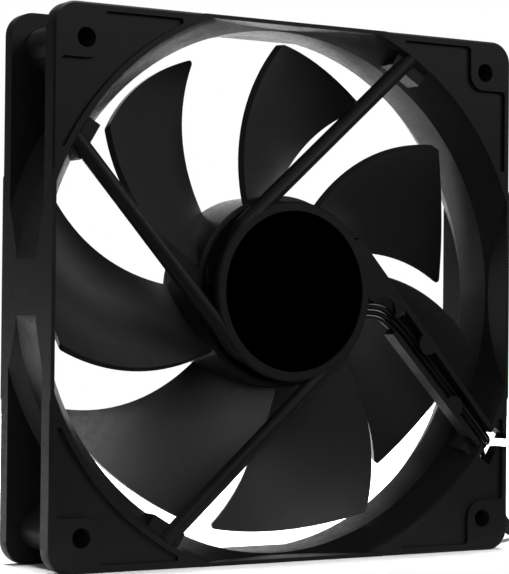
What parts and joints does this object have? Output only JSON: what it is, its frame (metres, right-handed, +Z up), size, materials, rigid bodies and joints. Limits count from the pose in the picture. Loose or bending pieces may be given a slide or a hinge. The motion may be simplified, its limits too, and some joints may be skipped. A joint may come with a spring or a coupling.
{
  "type": "case fan",
  "caption": "Square axial case fan with curved blades on a central motor, round struts, a clipped three-wire lead and corner screw holes.",
  "frame": {"origin": "on the rotor's axis, half-way through the frame's depth", "axes": "+Z up with the fan standing on its edge, -Y out of the exhaust face with the struts and label, +X to the right seen from that face"},
  "size_m": [0.1738, 0.0421, 0.12],
  "materials": {
    "housing_plastic": "fine matte moulded glass-filled plastic",
    "rotor_plastic": "fine matte moulded plastic",
    "label_film": "plain black film label, satin",
    "wire_jacket": "glossy black wire insulation",
    "sleeve_jacket": "black soft sleeve",
    "tie_strap": "black strap",
    "plug_plastic": "black nylon",
    "contact_metal": "tin-plated phosphor bronze",
    "solder": "soft solder",
    "board_laminate": "dark green solder mask over laminate",
    "chip_epoxy": "black moulding compound",
    "capacitor_ceramic": "tan ceramic",
    "lamination_steel": "stacked electrical steel",
    "insulator_nylon": "black nylon",
    "copper_enamel": "enamelled copper winding",
    "yoke_steel": "black-coated deep-drawn steel",
    "magnet_ferrite": "rubber-bonded ferrite",
    "bush_brass": "turned brass",
    "bearing_bronze": "oil-filled sintered bronze",
    "shaft_steel": "hardened ground steel",
    "washer_nylon": "white nylon",
    "cap_rubber": "soft black rubber"
  },
  "bodies": {
    "housing": {"fan_frame": "housing_plastic", "rear_label": "label_film", "bearing_cap": "cap_rubber", "thrust_pad": "washer_nylon", "sleeve_bearing": "bearing_bronze", "circuit_board": "board_laminate", "hall_sensor": "chip_epoxy", "driver_chip": "chip_epoxy", "filter_capacitor": "capacitor_ceramic", "protection_diode": "chip_epoxy", "board_resistors": "chip_epoxy", "stator_core": "lamination_steel", "rear_insulator": "insulator_nylon", "front_insulator": "insulator_nylon", "terminal_pins": "contact_metal", "winding_1": "copper_enamel", "winding_2": "copper_enamel", "winding_3": "copper_enamel", "winding_4": "copper_enamel", "solder_joints": "solder", "power_wire": "wire_jacket", "ground_wire": "wire_jacket", "speed_wire": "wire_jacket", "lead_boot": "sleeve_jacket", "lead_tube": "sleeve_jacket", "lead_coil": "sleeve_jacket", "lead_tail": "sleeve_jacket", "coil_tie": "tie_strap", "plug_wires": "wire_jacket", "plug_housing": "plug_plastic", "crimp_terminals": "contact_metal"},
    "rotor": {"impeller": "rotor_plastic", "rotor_yoke": "yoke_steel", "magnet_ring": "magnet_ferrite", "shaft_bush": "bush_brass", "shaft": "shaft_steel", "retaining_ring": "washer_nylon", "oil_washer": "washer_nylon"}
  },
  "joints": [
    {"name": "rotor_spin", "type": "hinge", "parent": "housing", "child": "rotor", "pos_m": [0, 0, 0], "axis": [0, 1, 0], "continuous": true}
  ]
}
